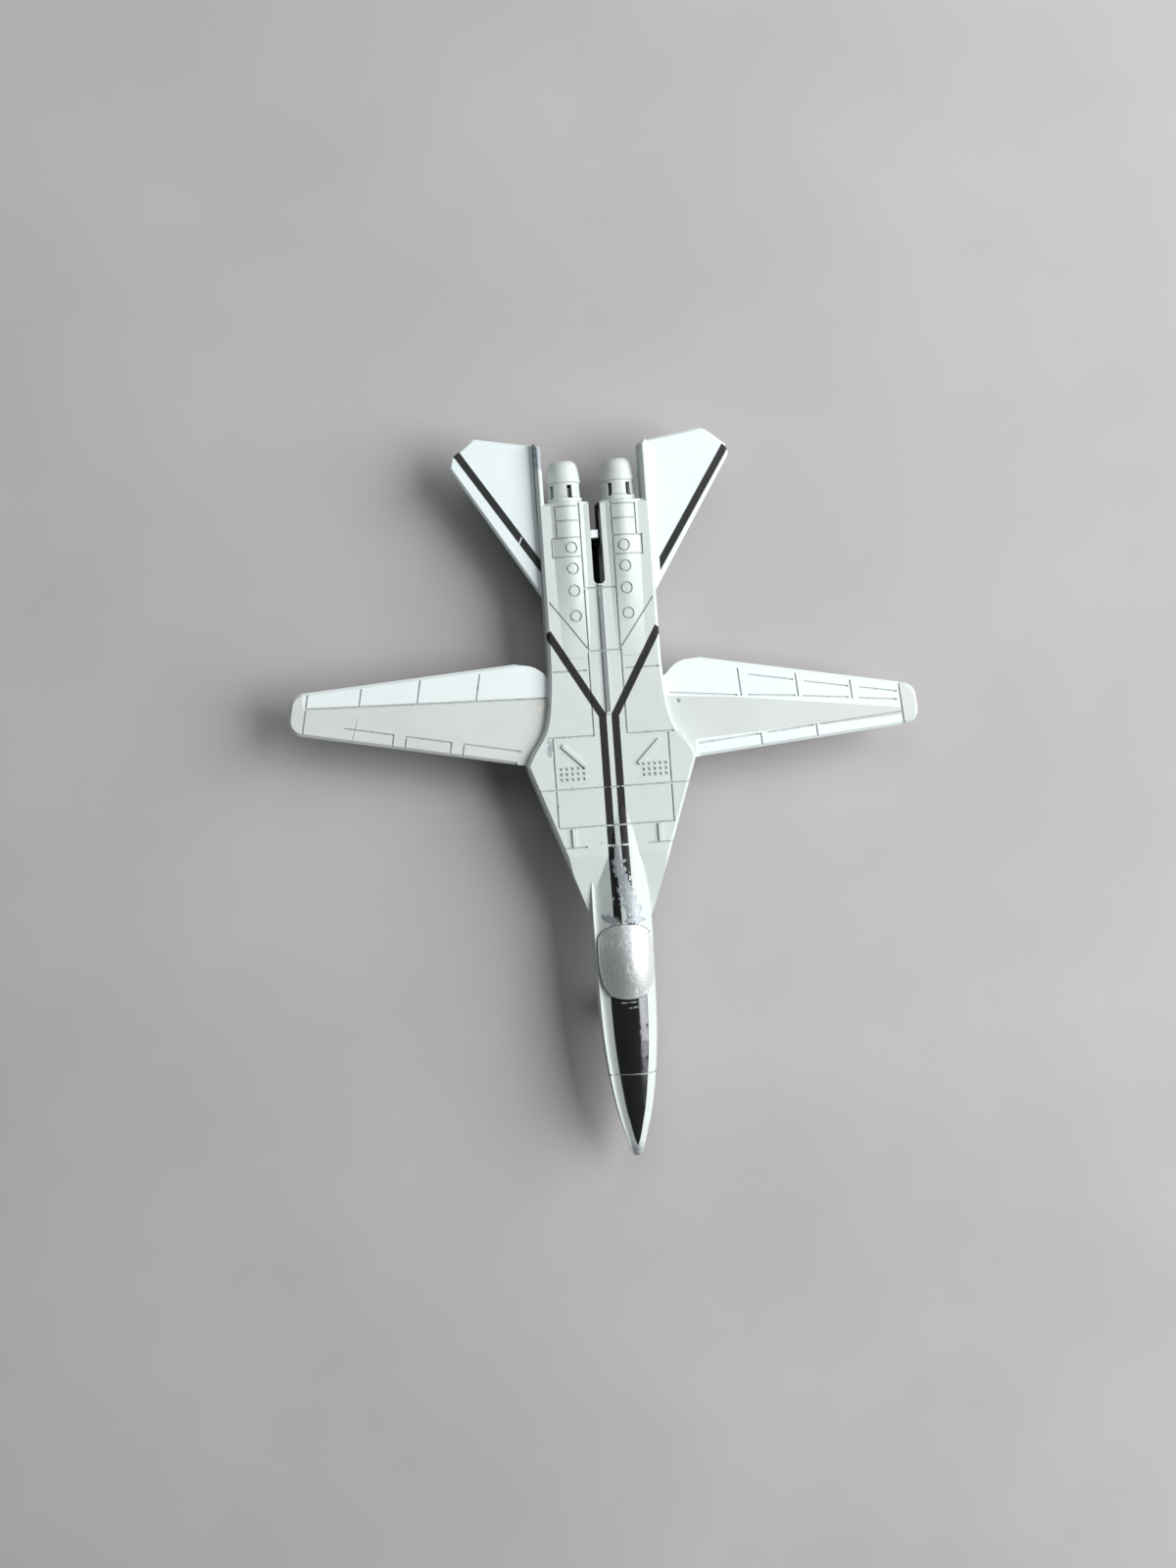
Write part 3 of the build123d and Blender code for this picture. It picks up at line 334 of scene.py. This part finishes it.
def casting_paint():
    p = Paint("painted_casting")
    p.ragged = p.noise(0.9, detail=4, rough=0.7)
    fine = p.noise(0.35, detail=3, seed=4)
    clouds = p.noise(9.0, detail=3, seed=1)
    streaks = p.noise(1.6, detail=4, stretch=(1.0, 0.25, 1.0), seed=2)
    side = abs(p.x + (fine - 0.5) * 0.10)
    length = p.y + (fine - 0.5) * 0.10

    # black print: two stripes down the spine, which splay to the deck edges
    stripes = abs(side - STRIPE_X).ramp(STRIPE_HALF + STRIPE_SOFT, STRIPE_HALF - STRIPE_SOFT)
    stripes = stripes * length.inside(STRIPE_FRONT, STRIPE_REAR, STRIPE_SOFT)
    arms = p.bar((STRIPE_X, STRIPE_REAR - 0.3), ARM_END, STRIPE_HALF, x=side, y=length)
    for place in STRIPE_BREAKS:
        line = p.y.inside(place - BREAK_HALF, place + BREAK_HALF, STRIPE_SOFT)
        stripes = stripes * (1 - line * p.ragged.ramp(0.38, 0.48))
    rubbed = p.y.ramp(-1.0, -19.0) * 0.16
    worn = (p.ragged * 0.6 + streaks * 0.4).ramp(0.72 - rubbed, 0.68 - rubbed)
    upper = p.up.ramp(*DECK_UP) * p.z.ramp(*DECK_Z)
    print_black = stripes.most(arms) * upper * worn

    # glossy anti-glare panel on the nose
    half = p.y.curve(PANEL_HALF) * PANEL_UNIT
    panel = (abs(p.x) - half).ramp(0.05, -0.05) * p.z.ramp(*PANEL_Z) * p.y.ramp(*PANEL_REAR)
    for start, end, thin, lowest in PANEL_SCRATCHES:
        panel = panel * (1 - p.bar(start, end, thin) * p.ragged.ramp(lowest, 0.6))
    panel = panel * (1 - p.y.inside(*PANEL_JOINT, 0.04) * 0.7)
    panel = panel * (1 - p.specks(1.4, 0.10, seed=3) * 0.8)
    black = print_black.most(panel)

    # bare metal
    spots = None
    for start, end, half, jag in BARE_PATCHES:
        spot = p.patch(start, end, half, jag)
        spots = spot if spots is None else spots.most(spot)
    spots = spots * p.z.ramp(9.0, 9.2)
    strake = p.x.inside(*STRAKE_CHIP_X) * p.y.inside(*STRAKE_CHIP_Y, 0.4) * p.ragged.ramp(0.36, 0.44)
    tip = p.y.ramp(*NOSE_TIP) * p.ragged.ramp(0.3, 0.5)
    edge = p.edges(0.22) * p.ragged.ramp(0.57, 0.66)
    spine = p.x.inside(-SPINE_HALF, SPINE_HALF) * p.y.inside(*SPINE_Y) * p.z.ramp(*SPINE_Z)
    spine = spine * streaks.ramp(0.30, 0.45)
    bare = spots.most(strake).most(tip).most(edge).most(spine)
    # painted shade: the inside of the fin slot, below the deck, is coloured black
    inside = abs(p.x).ramp(*FIN_SLOT_HALF) * p.y.inside(*FIN_SLOT_Y) * p.z.ramp(*FIN_SLOT_Z)
    scribed = p.bar(*SCRIBED_MARK, 0.05, soft=0.03, x=abs(p.x)) * upper

    # painted shade: grooves and corners are darkened by their ambient occlusion, with some real grime in the
    # engraved lines
    hollow_shade = p.hollows(0.35)
    grime_and_shade = hollow_shade.ramp(0.2, 0.8) * (0.2 + p.ragged.ramp(0.4, 0.6) * 0.3)
    grey = p.mix(clouds.ramp(0.35, 0.65), GREY_PAINT, GREY_PAINT_LIGHT)
    grey = p.mix(streaks.ramp(0.55, 0.75) * 0.25, grey, GREY_PAINT_DULL)
    grey = p.mix(p.specks(2.6, 0.10, seed=1) * 0.5, grey, GRIME_AND_SHADE)
    grey = p.mix(grime_and_shade.most(scribed * 0.5), grey, GRIME_AND_SHADE)
    colour = p.mix(print_black, grey, BLACK_PRINT_AND_SHADE)
    colour = p.mix(panel, colour, PANEL_BLACK)
    metal_colour = p.mix((p.ragged * 0.5 + fine * 0.5).ramp(0.4, 0.6), BARE_ZINC, BARE_ZINC_LIGHT)
    colour = p.mix(bare, colour, metal_colour)
    colour = p.mix(spine, colour, WORN_SPINE)
    # painted shade inside the fin slot
    colour = p.mix(inside, colour, BLACK_PRINT_AND_SHADE)

    rough = 0.36 + streaks * 0.14 + hollow_shade * 0.2 + bare * 0.08 + inside * 0.3
    gloss = 0.10 + streaks.ramp(0.5, 0.7) * 0.18 + fine * 0.06
    rough = rough * (1 - panel) + gloss * panel
    metal = (bare * 0.35).most(panel * 0.85) * (1 - inside)
    height = fine * 0.012 + p.noise(2.2, seed=9) * 0.02 + bare * -0.035 + black * 0.012 - scribed * 0.04
    return p.finish(colour, rough.most(0.07), height, metal=metal, specular=0.35)


# ---- wings -----------------------------------------------------------------------------
# White print lies behind the root and rear lines and ahead of the front line.
ROOT_LINE = ((10.3, 15.1), (20.0, 14.3))
PORT_REAR_LINE = ((20.0, 14.3), (47.6, 10.8))
PORT_FRONT_LINE = ((14.0, 8.0), (47.7, 9.5))
STARBOARD_REAR_LINE = ((-48.0, 17.1), (-10.0, 16.3))
FRONT_LINE_START = 13.8
PORT_TIP = 47.7
STARBOARD_TIP = -48.2
WING_SCRATCH = ((-39.8, 14.9), (-40.9, 11.3))
WING_CHIP = (11.5, 14.3)
CREAM_PATCH = ((-10.8, 14.4), (-10.0, 15.0))


def wing_paint():
    p = Paint("painted_wing")
    p.ragged = p.noise(0.9, detail=4, rough=0.7, seed=5)
    fine = p.noise(0.35, detail=3, seed=4)
    clouds = p.noise(8.0, detail=3, seed=6)
    streaks = p.noise(1.5, detail=4, stretch=(0.3, 1.0, 1.0), seed=7)
    x = p.x + (fine - 0.5) * 0.08
    y = p.y + (fine - 0.5) * 0.08

    bend = ROOT_LINE[1][0]
    port = p.beyond(*ROOT_LINE, x, y) * x.ramp(bend + 0.1, bend)
    port = port.most(p.beyond(*PORT_REAR_LINE, x, y) * x.inside(bend, PORT_TIP))
    port = port.most((1 - p.beyond(*PORT_FRONT_LINE, x, y)) * x.inside(FRONT_LINE_START, PORT_TIP))
    starboard = p.beyond(*STARBOARD_REAR_LINE, x, y) * x.inside(STARBOARD_TIP, 0)
    white = port.most(starboard) * p.up.ramp(0.2, 0.4)
    worn = (p.ragged * 0.7 + streaks * 0.3).ramp(0.74, 0.68)
    white = white * worn

    scratch = p.bar(*WING_SCRATCH, 0.07) * fine.ramp(0.35, 0.5)
    chip = p.blob(*WING_CHIP, 0.35)
    edge = p.edges(0.22) * p.ragged.ramp(0.60, 0.68)
    cream = p.patch(*CREAM_PATCH, 0.3, 1.6)
    bare = edge.most(scratch).most(chip)

    # painted shade: grooves and corners are darkened by their ambient occlusion
    hollow_shade = p.hollows(0.35)
    grey = p.mix(clouds.ramp(0.35, 0.65), GREY_WING, GREY_WING_LIGHT)
    grey = p.mix(streaks.ramp(0.55, 0.75) * 0.2, grey, GREY_WING_DULL)
    white_colour = p.mix(clouds.ramp(0.4, 0.7) * 0.4, WHITE_PRINT, WHITE_PRINT_DULL)
    colour = p.mix(white, grey, white_colour)
    colour = p.mix(p.specks(3.0, 0.09, seed=8) * 0.5, colour, GRIME_AND_SHADE)
    colour = p.mix(hollow_shade.ramp(0.2, 0.8) * (0.2 + p.ragged.ramp(0.4, 0.6) * 0.3), colour, GRIME_AND_SHADE)
    colour = p.mix(bare, colour, BARE_ZINC)
    colour = p.mix(cream, colour, CREAM_STAIN)

    rough = 0.38 + streaks * 0.14 + hollow_shade * 0.2 - white * 0.06
    height = fine * 0.012 + p.noise(2.2, seed=9) * 0.02 + bare * -0.045 + white * 0.012
    return p.finish(colour, rough, height, metal=bare * 0.8)


# ---- plastic parts ---------------------------------------------------------------------
TAIL_STRIPE_HALF = 0.6
PORT_TAIL_STRIPE = ((9.0, 34.6), (22.0, 54.7))
STARBOARD_TAIL_STRIPE = ((7.0, 34.0), (21.2, 55.6))
PORT_STRIPE_ROOT = (10.1, 10.16)
TAIL_NICK = ((-12.4, 40.4), (-11.7, 41.9))
NOZZLE_X = 4.35
NOZZLE_Z = 8.4
BORE_EDGE = (2.05, 1.90)
BORE_Y = (46.9, 52.6)
MOUTH_EDGE = (1.5, 1.38)
MOUTH_Y = (52.5, 52.6)


def tail_plastic():
    p = Paint("white_plastic")
    p.ragged = p.noise(0.9, detail=4, rough=0.7, seed=11)
    fine = p.noise(0.3, detail=3, seed=12)
    clouds = p.noise(7.0, detail=2, seed=13)
    side = abs(p.x + (fine - 0.5) * 0.06)
    y = p.y + (fine - 0.5) * 0.06
    port = p.bar(*PORT_TAIL_STRIPE, TAIL_STRIPE_HALF, x=side, y=y) * p.x.ramp(*PORT_STRIPE_ROOT)
    starboard = p.bar(*STARBOARD_TAIL_STRIPE, TAIL_STRIPE_HALF, x=side, y=y) * p.x.ramp(0, -0.1)
    stripe = port.most(starboard) * p.up.ramp(0.2, 0.4)
    stripe = stripe * (1 - p.bar(*TAIL_NICK, 0.08))
    stripe = stripe * (1 - p.specks(1.6, 0.09, seed=6) * 0.9)
    # painted shade: grooves and corners are darkened by their ambient occlusion
    hollow_shade = p.hollows(0.6)
    colour = p.mix(clouds.ramp(0.35, 0.65), WHITE_PLASTIC, WHITE_PLASTIC_DULL)
    colour = p.mix(p.specks(3.5, 0.10, seed=2) * 0.4, colour, GRIME_AND_SHADE)
    colour = p.mix(hollow_shade.ramp(0.2, 0.8) * 0.45, colour, GRIME_AND_SHADE)
    rubbed = p.edges(0.2) * p.ragged.ramp(0.60, 0.68) * 0.6
    colour = p.mix(rubbed, colour, WHITE_PLASTIC_RUBBED)
    colour = p.mix(stripe, colour, BLACK_PRINT_AND_SHADE)
    rough = 0.30 + clouds * 0.12 + hollow_shade * 0.2
    height = fine * 0.008 + p.noise(3.0, seed=14) * 0.02 + stripe * 0.012
    return p.finish(colour, rough, height)


def nozzle_plastic():
    p = Paint("pale_plastic")
    fine = p.noise(0.25, detail=3, seed=15)
    rings = p.noise(1.0, detail=3, stretch=(0.4, 2.0, 0.4), seed=16)
    # painted shade: the nozzles' windows and corners are darkened by their ambient occlusion
    hollow_shade = p.hollows(0.7)
    colour = p.mix(rings.ramp(0.4, 0.7) * 0.5, PALE_PLASTIC, PALE_PLASTIC_DULL)
    colour = p.mix(hollow_shade.ramp(0.1, 0.8) * 0.6, colour, GRIME_AND_SHADE)
    colour = p.mix(p.specks(1.8, 0.08, seed=2) * 0.5, colour, GRIME_AND_SHADE)
    aside, above = abs(p.x) - NOZZLE_X, p.z - NOZZLE_Z
    radius = (aside * aside + above * above).power(0.5)
    mouth = radius.ramp(*MOUTH_EDGE) * p.y.ramp(*MOUTH_Y)
    bore = radius.ramp(*BORE_EDGE) * p.y.inside(*BORE_Y) + mouth
    colour = p.mix(bore, colour, UNLIT_INSIDE)
    rough = 0.42 + rings * 0.12
    height = fine * 0.02 + rings * 0.02
    return p.finish(colour, rough, height)


def canopy_silver():
    p = Paint("silvered_plastic")
    p.ragged = p.noise(0.7, detail=4, rough=0.7, seed=21)
    fine = p.noise(0.25, detail=4, seed=22)
    scratches = p.noise(0.5, detail=4, stretch=(1.0, 0.16, 1.0), seed=23, twist=0.6)
    cross = p.noise(0.5, detail=4, stretch=(0.2, 1.1, 0.6), seed=24, twist=0.6)
    lines = scratches.ramp(0.60, 0.64).most(cross.ramp(0.64, 0.68) * 0.7)
    rubbed = p.z.ramp(12.6, 13.9) * p.ragged.ramp(0.45, 0.6)
    colour = p.mix(fine.ramp(0.3, 0.7), SILVER, SILVER_LIGHT)
    colour = p.mix(lines * 0.6, colour, SILVER_SCRATCH)
    pits = p.specks(1.1, 0.22, seed=4) * p.ragged.ramp(0.45, 0.55)
    colour = p.mix(rubbed * 0.35, colour, SILVER_RUBBED)
    colour = p.mix(pits * 0.5, colour, SILVER_PIT)
    # painted shade: the canopy's edges and hollows are darkened by their ambient occlusion
    colour = p.mix(p.hollows(0.5).ramp(0.2, 0.8) * 0.7, colour, GRIME_AND_SHADE)
    rough = 0.34 + fine * 0.14 + lines * 0.15
    height = fine * 0.02 + lines * -0.02 + rubbed * -0.015 + pits * -0.03
    return p.finish(colour, rough, height, metal=0.45)


def pin_steel():
    p = Paint("steel_pin")
    fine = p.noise(0.2, detail=3, seed=31)
    turned = p.noise(0.5, detail=2, stretch=(1.0, 1.0, 3.0), seed=32)
    colour = p.mix(fine.ramp(0.3, 0.7), STEEL, STEEL_LIGHT)
    # painted shade: the pins' hollows are darkened by their ambient occlusion
    colour = p.mix(p.hollows(0.5).ramp(0.2, 0.8) * 0.8, colour, STEEL_HOLLOW_SHADE)
    return p.finish(colour, 0.30 + turned * 0.2, fine * 0.01, metal=1.0, bevel=0.08)


def gear_plastic():
    p = Paint("grey_plastic")
    fine = p.noise(0.25, detail=3, seed=41)
    clouds = p.noise(2.0, detail=3, seed=42)
    colour = p.mix(clouds.ramp(0.3, 0.7), GEAR_GREY, GEAR_GREY_LIGHT)
    colour = p.mix(p.hollows(0.5).ramp(0.2, 0.8) * 0.7, colour, UNLIT_INSIDE)
    colour = p.mix(p.edges(0.15) * fine.ramp(0.5, 0.6) * 0.5, colour, GEAR_RUBBED)
    return p.finish(colour, 0.45 + clouds * 0.15, fine * 0.02, bevel=0.1)


def wheel_plastic():
    p = Paint("black_plastic")
    fine = p.noise(0.3, detail=3, seed=51)
    dust = p.noise(1.2, detail=4, seed=52)
    colour = p.mix(dust.ramp(0.45, 0.75) * 0.5, WHEEL_BLACK, WHEEL_DUST)
    colour = p.mix(p.edges(0.2) * dust.ramp(0.45, 0.6) * 0.5, colour, WHEEL_RUBBED)
    return p.finish(colour, 0.42 + dust * 0.25, fine * 0.02)


dress(("upper_fuselage", "lower_fuselage"), casting_paint())
dress(("port_wing", "starboard_wing"), wing_paint())
dress(("port_tailplane", "starboard_tailplane", "fin_root_tab"), tail_plastic())
dress(("port_nozzle", "starboard_nozzle"), nozzle_plastic())
dress(("canopy",), canopy_silver())
dress(("port_wing_pivot", "starboard_wing_pivot", "body_screws", "nose_axle", "main_axle"), pin_steel())
dress(("nose_gear_leg", "main_gear_bracket"), gear_plastic())
dress(("nose_wheel", "port_main_wheel", "starboard_main_wheel"), wheel_plastic())


# ---- floor, light and camera -----------------------------------------------------------
TURN = math.radians(4.1)           # the view's upright, turned this far from the tail to port
LEAN = math.radians(6.4)           # the camera stands this far off the vertical, to starboard
LENS = 50.4
SENSOR = 36
CAMERA_AWAY = 0.35
AIM_RIGHT = -4.1 * MM
AIM_UP = 1.7 * MM
AIM_HEIGHT = 10 * MM
FLOOR_RADIUS = 3.0
STUDIO_COLOUR = (0.82, 0.84, 0.86, 1)
STUDIO_STRENGTH = 0.09
RIGHT = Vector((math.cos(TURN), -math.sin(TURN), 0))
UP = Vector((math.sin(TURN), math.cos(TURN), 0))


def floor():
    p = Paint("floor")
    cloud = p.noise(40.0, detail=3, seed=61)
    grain = p.noise(0.8, detail=3, seed=62)
    colour = p.mix(cloud.ramp(0.3, 0.7), FLOOR_DARK, FLOOR_LIGHT)
    material = p.finish(colour, 0.75 + grain * 0.1, grain * 0.01, bevel=0)
    bpy.ops.mesh.primitive_circle_add(vertices=96, radius=FLOOR_RADIUS, fill_type="NGON")
    made = bpy.context.object
    made.name = "floor"
    made.data.materials.append(material)


def soft_light(name, turn, height, distance, width, tall, power, colour):
    """Area light aimed at the part.

    turn is in degrees from port towards the tail, and height is degrees above the floor.
    """
    turn, height = math.radians(turn), math.radians(height)
    flat = Vector((math.cos(turn), math.sin(turn), 0))
    towards = flat * math.cos(height) + Vector((0, 0, math.sin(height)))
    light = bpy.data.lights.new(name, "AREA")
    light.shape = "RECTANGLE"
    light.size, light.size_y = width, tall
    light.energy = power
    light.color = colour
    made = bpy.data.objects.new(name, light)
    made.location = towards * distance
    made.rotation_euler = towards.to_track_quat("Z", "Y").to_euler()
    bpy.context.scene.collection.objects.link(made)


def camera():
    away = (Vector((0, 0, 1)) * math.cos(LEAN) - RIGHT * math.sin(LEAN)).normalized()
    aim = RIGHT * AIM_RIGHT + UP * AIM_UP + Vector((0, 0, AIM_HEIGHT))
    data = bpy.data.cameras.new("camera")
    data.lens = LENS
    data.sensor_width = SENSOR
    data.clip_start = 0.01
    made = bpy.data.objects.new("camera", data)
    side = UP.cross(away).normalized()
    top = away.cross(side)
    turned = Matrix((side, top, away)).transposed().to_4x4()
    made.matrix_world = Matrix.Translation(aim + away * CAMERA_AWAY) @ turned
    bpy.context.scene.collection.objects.link(made)
    bpy.context.scene.camera = made


floor()
soft_light(
    "key_light", turn=6, height=42, distance=0.7, width=0.62, tall=0.60, power=8.0, colour=(1.0, 0.99, 0.98)
)
soft_light(
    "tail_light", turn=100, height=56, distance=0.8, width=0.5, tall=0.4, power=1.1, colour=(0.98, 0.99, 1.0)
)
camera()
world = bpy.data.worlds.new("studio")
world.use_nodes = True
background = world.node_tree.nodes["Background"]
background.inputs["Color"].default_value = STUDIO_COLOUR
background.inputs["Strength"].default_value = STUDIO_STRENGTH
bpy.context.scene.world = world
bpy.context.scene.view_settings.view_transform = "Standard"
